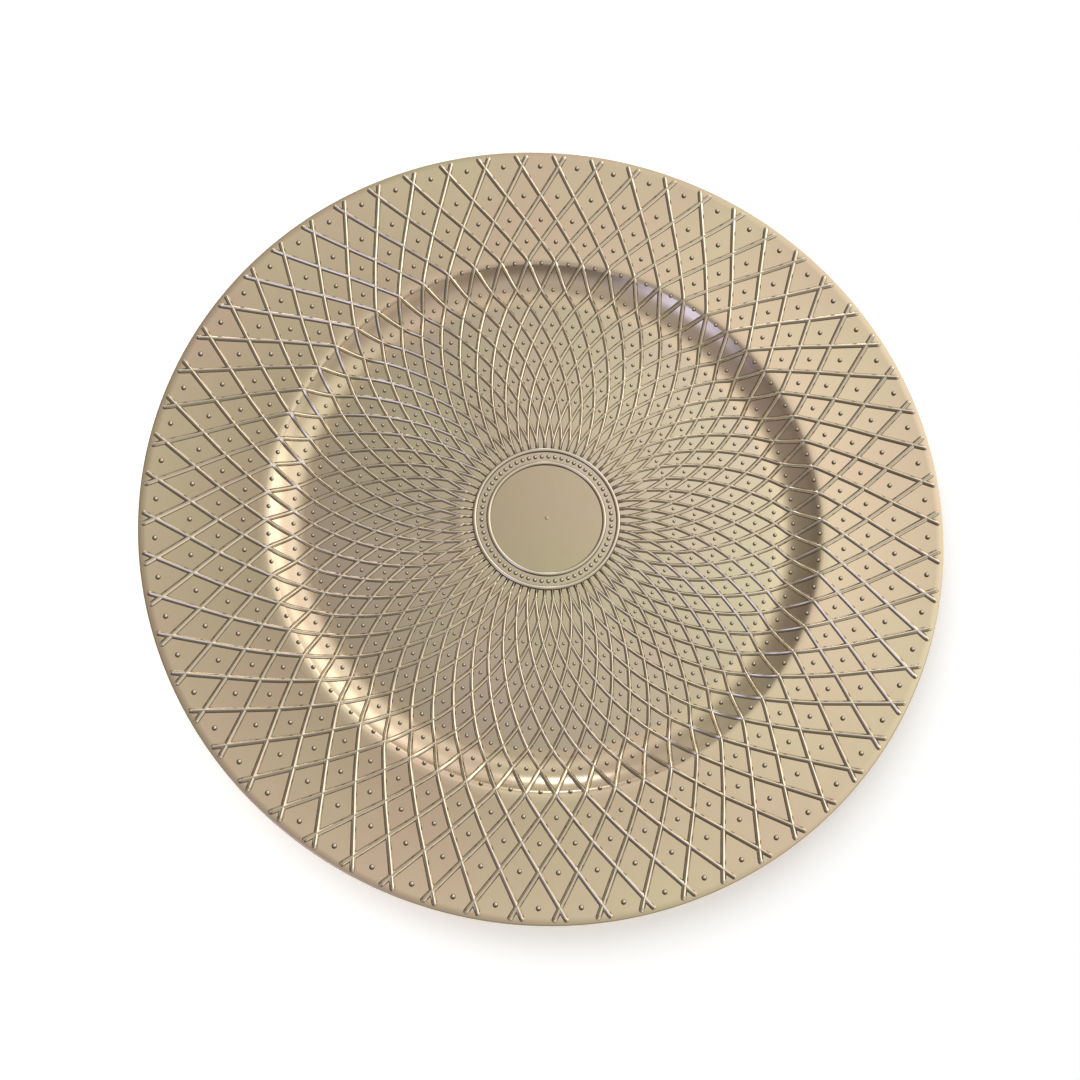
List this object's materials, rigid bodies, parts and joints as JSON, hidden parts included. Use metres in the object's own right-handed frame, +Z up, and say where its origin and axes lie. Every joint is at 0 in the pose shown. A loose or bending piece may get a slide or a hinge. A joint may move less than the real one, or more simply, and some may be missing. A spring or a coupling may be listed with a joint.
{
  "type": "charger plate",
  "caption": "Round champagne-gold charger plate, a shallow dish with a wide rim, covered by crossing raised ribs with studs and a beaded centre medallion.",
  "frame": {"origin": "middle of the foot ring's resting face, on the table, under the middle of the plate", "axes": "+Z up along the plate's axis, out of the dish; +Y towards the edge that the picture shows at the top, +X towards its right edge"},
  "size_m": [0.33, 0.33, 0.0186],
  "materials": {
    "lacquer_rim": "satin metallic champagne gold lacquer over moulded plastic",
    "lacquer_well": "satin metallic champagne gold lacquer over moulded plastic, slightly olive",
    "lacquer_relief": "satin metallic champagne gold lacquer over raised relief",
    "lacquer_back": "satin metallic lacquer on the underside and foot"
  },
  "bodies": {
    "root": {"foot_ring": "lacquer_back", "well_floor": "lacquer_well", "cove_wall": "lacquer_rim", "rim_wall": "lacquer_rim", "edge_lip": "lacquer_rim", "rim_ribs": "lacquer_relief", "cove_ribs": "lacquer_relief", "well_ribs": "lacquer_relief", "rim_studs": "lacquer_relief", "cove_studs": "lacquer_relief", "well_studs": "lacquer_relief", "medallion_rings": "lacquer_relief", "medallion_beads": "lacquer_relief", "gate_mark": "lacquer_well"}
  },
  "joints": []
}
